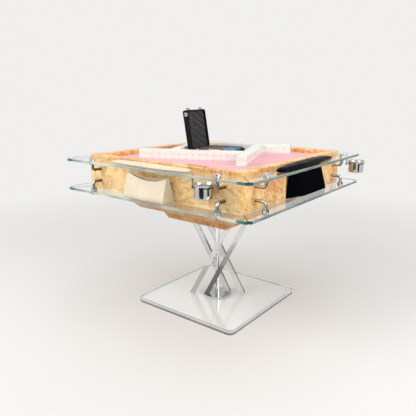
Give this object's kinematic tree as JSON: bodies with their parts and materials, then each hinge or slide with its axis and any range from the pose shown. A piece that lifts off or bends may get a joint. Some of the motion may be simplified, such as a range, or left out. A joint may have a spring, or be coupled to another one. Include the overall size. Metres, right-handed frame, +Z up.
{
  "type": "automatic mahjong table",
  "caption": "Square wooden mahjong table on a clear base with crossed acrylic bars, two tiers of glass ledge, swivelling cup holders, tile walls and an open chip case.",
  "frame": {"origin": "on the floor under the table's centre, at the middle of the foot plate's underside", "axes": "+Z up; the long front side with the pale pad and pouch faces -Y, the side with the dark pad and pouch faces +X"},
  "size_m": [1.1131, 1.0844, 1.0015],
  "materials": {
    "clear_acrylic": "clear polished acrylic",
    "mirror_disc": "mirror polish",
    "chrome_pole": "bright chrome",
    "burl_wood": "glossy lacquered burl veneer",
    "plain_board": "plain board",
    "pink_cloth": "short napped cloth",
    "clear_glass": "polished float glass",
    "polished_rod": "polished steel",
    "cup_steel": "polished stainless steel",
    "pale_leather": "smooth matt leather",
    "dark_leather": "smooth leather",
    "ivory_tile": "polished ivory resin",
    "case_leather": "quilted leather",
    "case_metal": "satin steel",
    "chip_plastic": "moulded chips in several colours",
    "machine_plastic": "moulded plastic",
    "console_plastic": "cloth-coloured cover",
    "motor_paint": "semi-gloss paint",
    "drive_rubber": "moulded rubber"
  },
  "bodies": {
    "table": {"base_plate": "clear_acrylic", "base_disc": "mirror_disc", "centre_pole": "chrome_pole", "acrylic_bar_1": "clear_acrylic", "acrylic_bar_2": "clear_acrylic", "acrylic_bar_3": "clear_acrylic", "acrylic_bar_4": "clear_acrylic", "hull_lower": "burl_wood", "hull_upper": "burl_wood", "cabinet_floor": "plain_board", "cabinet_panel_front": "burl_wood", "cabinet_panel_right": "burl_wood", "cabinet_panel_back": "burl_wood", "cabinet_panel_left": "burl_wood", "table_rim": "burl_wood", "deck_cleats": "plain_board", "play_deck": "plain_board", "play_cloth": "pink_cloth", "upper_glass_front": "clear_glass", "upper_glass_right": "clear_glass", "upper_glass_back": "clear_glass", "upper_glass_left": "clear_glass", "lower_glass_front": "clear_glass", "lower_glass_right": "clear_glass", "lower_glass_back": "clear_glass", "lower_glass_left": "clear_glass", "upper_hooks": "polished_rod", "lower_hooks": "polished_rod", "glass_caps": "polished_rod", "cup_posts": "polished_rod", "drive_motor": "motor_paint"},
    "ring_front": {"cup_ring_front": "polished_rod"},
    "cup_front": {"cup_front": "cup_steel"},
    "pad_front": {"pad_front": "pale_leather"},
    "pouch_front": {"pouch_front": "pale_leather"},
    "ring_right": {"cup_ring_right": "polished_rod"},
    "cup_right": {"cup_right": "cup_steel"},
    "pad_right": {"pad_right": "dark_leather"},
    "pouch_right": {"pouch_right": "dark_leather"},
    "ring_back": {"cup_ring_back": "polished_rod"},
    "cup_back": {"cup_back": "cup_steel"},
    "pad_back": {"pad_back": "pale_leather"},
    "pouch_back": {"pouch_back": "pale_leather"},
    "ring_left": {"cup_ring_left": "polished_rod"},
    "cup_left": {"cup_left": "cup_steel"},
    "pad_left": {"pad_left": "dark_leather"},
    "pouch_left": {"pouch_left": "dark_leather"},
    "wall_1": {"tile_wall_1": "ivory_tile"},
    "wall_2": {"tile_wall_2": "ivory_tile"},
    "wall_3": {"tile_wall_3": "ivory_tile"},
    "wall_4": {"tile_wall_4": "ivory_tile"},
    "chip_case": {"case_tray": "case_leather", "case_hinge_pin": "case_metal", "case_chips": "chip_plastic"},
    "lid": {"case_lid": "case_leather", "case_clasps": "case_metal"},
    "shuffler": {"shuffle_disc": "machine_plastic"},
    "wheel": {"drive_wheel": "drive_rubber"},
    "console": {"centre_console": "console_plastic"},
    "lifts": {"tile_lifts": "console_plastic"}
  },
  "joints": [
    {"name": "cup_swivel_front", "type": "hinge", "parent": "table", "child": "ring_front", "pos_m": [0.253, -0.508, 0.72], "axis": [0, 0, 1], "range_deg": [-180, 5]},
    {"name": "cup_lift_front", "type": "slide", "parent": "ring_front", "child": "cup_front", "axis": [0, 0, 1], "range_m": [0, 0.011]},
    {"name": "pad_lift_front", "type": "slide", "parent": "table", "child": "pad_front", "axis": [0, 0, 1], "range_m": [0, 0.1]},
    {"name": "pouch_pull_front", "type": "slide", "parent": "table", "child": "pouch_front", "axis": [0, -1, 0], "range_m": [0, 0.1]},
    {"name": "cup_swivel_right", "type": "hinge", "parent": "table", "child": "ring_right", "pos_m": [0.487, 0.46, 0.72], "axis": [0, 0, 1], "range_deg": [-80, 60]},
    {"name": "cup_lift_right", "type": "slide", "parent": "ring_right", "child": "cup_right", "axis": [0, 0, 1], "range_m": [0, 0.011]},
    {"name": "pad_lift_right", "type": "slide", "parent": "table", "child": "pad_right", "axis": [0, 0, 1], "range_m": [0, 0.1]},
    {"name": "pouch_pull_right", "type": "slide", "parent": "table", "child": "pouch_right", "axis": [1, 0, 0], "range_m": [0, 0.1]},
    {"name": "cup_swivel_back", "type": "hinge", "parent": "table", "child": "ring_back", "pos_m": [-0.253, 0.508, 0.72], "axis": [0, 0, 1], "range_deg": [-180, 5]},
    {"name": "cup_lift_back", "type": "slide", "parent": "ring_back", "child": "cup_back", "axis": [0, 0, 1], "range_m": [0, 0.011]},
    {"name": "pad_lift_back", "type": "slide", "parent": "table", "child": "pad_back", "axis": [0, 0, 1], "range_m": [0, 0.1]},
    {"name": "pouch_pull_back", "type": "slide", "parent": "table", "child": "pouch_back", "axis": [0, 1, 0], "range_m": [0, 0.1]},
    {"name": "cup_swivel_left", "type": "hinge", "parent": "table", "child": "ring_left", "pos_m": [-0.508, -0.253, 0.72], "axis": [0, 0, 1], "range_deg": [-150, 5]},
    {"name": "cup_lift_left", "type": "slide", "parent": "ring_left", "child": "cup_left", "axis": [0, 0, 1], "range_m": [0, 0.011]},
    {"name": "pad_lift_left", "type": "slide", "parent": "table", "child": "pad_left", "axis": [0, 0, 1], "range_m": [0, 0.1]},
    {"name": "pouch_pull_left", "type": "slide", "parent": "table", "child": "pouch_left", "axis": [-1, 0, 0], "range_m": [0, 0.1]},
    {"name": "wall_lift_1", "type": "slide", "parent": "table", "child": "wall_1", "axis": [0, 0, 1], "range_m": [0, 0.1]},
    {"name": "wall_lift_2", "type": "slide", "parent": "table", "child": "wall_2", "axis": [0, 0, 1], "range_m": [0, 0.1]},
    {"name": "wall_lift_3", "type": "slide", "parent": "table", "child": "wall_3", "axis": [0, 0, 1], "range_m": [0, 0.1]},
    {"name": "wall_lift_4", "type": "slide", "parent": "table", "child": "wall_4", "axis": [0, 0, 1], "range_m": [0, 0.1]},
    {"name": "console_rise", "type": "slide", "parent": "table", "child": "console", "axis": [0, 0, 1], "range_m": [0, 0.05]},
    {"name": "case_lift", "type": "slide", "parent": "console", "child": "chip_case", "axis": [0, 0, 1], "range_m": [0, 0.1]},
    {"name": "lid_hinge", "type": "hinge", "parent": "chip_case", "child": "lid", "pos_m": [-0.11948, 0.01844, 0.7935], "axis": [0.2419, -0.9703, 0], "range_deg": [-98.8, 0]},
    {"name": "lifts_drop", "type": "slide", "parent": "table", "child": "lifts", "axis": [0, 0, 1], "range_m": [-0.05, 0]},
    {"name": "shuffle_turn", "type": "hinge", "parent": "table", "child": "shuffler", "pos_m": [0, 0, 0.655], "axis": [0, 0, 1], "continuous": true},
    {"name": "drive_turn", "type": "hinge", "parent": "table", "child": "wheel", "pos_m": [0.0803, 0, 0.62], "axis": [0, 0, 1], "continuous": true}
  ],
  "couplings": [
    {"joint": "drive_turn", "follows": "shuffle_turn", "ratio": -3}
  ]
}
